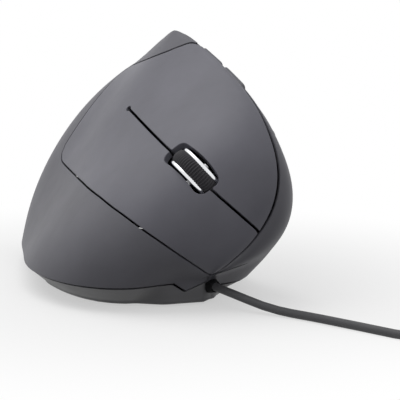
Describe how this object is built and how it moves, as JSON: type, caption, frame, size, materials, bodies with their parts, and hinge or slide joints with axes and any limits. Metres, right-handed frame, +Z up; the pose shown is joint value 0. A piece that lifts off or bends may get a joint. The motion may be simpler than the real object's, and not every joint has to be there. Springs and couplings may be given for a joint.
{
  "type": "vertical ergonomic mouse",
  "caption": "Right-handed vertical ergonomic mouse: tall lofted shell with split keys on a sloped face, ribbed scroll wheel, raised thumb buttons and a cable with its plug.",
  "frame": {"origin": "centre of the body on the table surface, under the glide feet; the cable is not counted", "axes": "+X to the thumb side, -Y to the cable end, +Z up"},
  "size_m": [0.1167, 0.2013, 0.075],
  "materials": {
    "shell_plastic": "satin",
    "panel_plastic": "satin",
    "base_plastic": "satin",
    "glide": "gloss",
    "rubber": "matte",
    "bright_metal": "polished",
    "steel": "brushed",
    "circuit_board": "satin",
    "switch_body": "matte",
    "switch_plunger": "gloss",
    "pale_plastic": "matte",
    "clear": "polished",
    "cable_jacket": "matte"
  },
  "bodies": {
    "housing": {"base_tray": "base_plastic", "glide_feet": "glide", "palm_shell": "shell_plastic", "thumb_shell": "shell_plastic", "button_plate": "panel_plastic", "key_frame": "base_plastic", "frame_screws": "steel", "button_board": "circuit_board", "board_screws": "steel", "left_switch": "switch_body", "right_switch": "switch_body", "middle_switch": "switch_body", "wheel_encoder": "pale_plastic", "axle_fork": "base_plastic", "side_board": "circuit_board", "side_board_screws": "steel", "forward_switch": "switch_body", "back_switch": "switch_body", "dpi_switch": "switch_body", "main_board": "circuit_board", "main_board_screws": "steel", "optical_sensor": "switch_body", "sensor_lens": "clear", "sensor_lamp": "clear", "cable_connector": "pale_plastic", "inner_leads": "cable_jacket", "shell_screws": "steel", "strain_relief": "base_plastic", "cable": "cable_jacket", "cable_coil": "cable_jacket", "coil_tie": "base_plastic", "plug_moulding": "base_plastic", "plug_shell": "bright_metal", "plug_tongue": "pale_plastic"},
    "left_key": {"left_button": "panel_plastic"},
    "right_key": {"right_button": "panel_plastic"},
    "left_switch_plunger": {"left_plunger": "switch_plunger"},
    "right_switch_plunger": {"right_plunger": "switch_plunger"},
    "wheel_carrier": {"axle_bush": "pale_plastic"},
    "wheel": {"wheel_hub": "base_plastic", "wheel_tyre": "rubber", "wheel_rims": "bright_metal", "wheel_axle": "steel"},
    "middle_switch_plunger": {"middle_plunger": "switch_plunger"},
    "forward_key": {"forward_button": "shell_plastic"},
    "forward_switch_plunger": {"forward_plunger": "switch_plunger"},
    "back_key": {"back_button": "shell_plastic"},
    "back_switch_plunger": {"back_plunger": "switch_plunger"},
    "dpi_key": {"dpi_button": "shell_plastic"},
    "dpi_switch_plunger": {"dpi_plunger": "switch_plunger"}
  },
  "joints": [
    {"name": "left_press", "type": "hinge", "parent": "housing", "child": "left_key", "pos_m": [0.00162, -0.00296, 0.05192], "axis": [0.7103, -0.2012, 0.6745], "range_deg": [0, 0.55], "stiffness_Nm_per_rad": 1.5, "springref_deg": -0.69},
    {"name": "left_plunge", "type": "slide", "parent": "housing", "child": "left_switch_plunger", "axis": [0.6628, 0.5139, -0.5446], "range_m": [0, 0.00034]},
    {"name": "right_press", "type": "hinge", "parent": "housing", "child": "right_key", "pos_m": [0.00162, -0.00296, 0.05192], "axis": [0.7103, -0.2012, 0.6745], "range_deg": [0, 0.55], "stiffness_Nm_per_rad": 1.5, "springref_deg": -0.69},
    {"name": "right_plunge", "type": "slide", "parent": "housing", "child": "right_switch_plunger", "axis": [0.6628, 0.5139, -0.5446], "range_m": [0, 0.00034]},
    {"name": "wheel_tilt", "type": "hinge", "parent": "housing", "child": "wheel_carrier", "pos_m": [-0.00557, -0.0474, 0.03034], "axis": [-0.2371, 0.8339, 0.4984], "range_deg": [0, 1.2], "stiffness_Nm_per_rad": 0.3, "springref_deg": -1.15},
    {"name": "wheel_spin", "type": "hinge", "parent": "wheel_carrier", "child": "wheel", "pos_m": [0.00189, -0.04952, 0.03743], "axis": [0.7103, -0.2012, 0.6745], "continuous": true},
    {"name": "middle_plunge", "type": "slide", "parent": "housing", "child": "middle_switch_plunger", "axis": [0.6628, 0.5139, -0.5446], "range_m": [0, 0.00042]},
    {"name": "forward_press", "type": "slide", "parent": "housing", "child": "forward_key", "axis": [-0.9842, -0.0262, -0.1749], "range_m": [0, 0.0005], "stiffness_N_per_m": 400, "springref_m": -0.001},
    {"name": "forward_plunge", "type": "slide", "parent": "housing", "child": "forward_switch_plunger", "axis": [-0.9842, -0.0262, -0.1749], "range_m": [0, 0.00052]},
    {"name": "back_press", "type": "slide", "parent": "housing", "child": "back_key", "axis": [-0.9842, -0.0262, -0.1749], "range_m": [0, 0.0005], "stiffness_N_per_m": 400, "springref_m": -0.001},
    {"name": "back_plunge", "type": "slide", "parent": "housing", "child": "back_switch_plunger", "axis": [-0.9842, -0.0262, -0.1749], "range_m": [0, 0.00052]},
    {"name": "dpi_press", "type": "slide", "parent": "housing", "child": "dpi_key", "axis": [-0.9842, -0.0262, -0.1749], "range_m": [0, 0.0005], "stiffness_N_per_m": 400, "springref_m": -0.001},
    {"name": "dpi_plunge", "type": "slide", "parent": "housing", "child": "dpi_switch_plunger", "axis": [-0.9842, -0.0262, -0.1749], "range_m": [0, 0.00052]}
  ],
  "couplings": [
    {"joint": "left_plunge", "follows": "left_press", "m_per_rad": 0.03177},
    {"joint": "right_plunge", "follows": "right_press", "m_per_rad": 0.03142},
    {"joint": "middle_plunge", "follows": "wheel_tilt", "m_per_rad": 0.0159},
    {"joint": "forward_plunge", "follows": "forward_press", "ratio": 1},
    {"joint": "back_plunge", "follows": "back_press", "ratio": 1},
    {"joint": "dpi_plunge", "follows": "dpi_press", "ratio": 1}
  ]
}
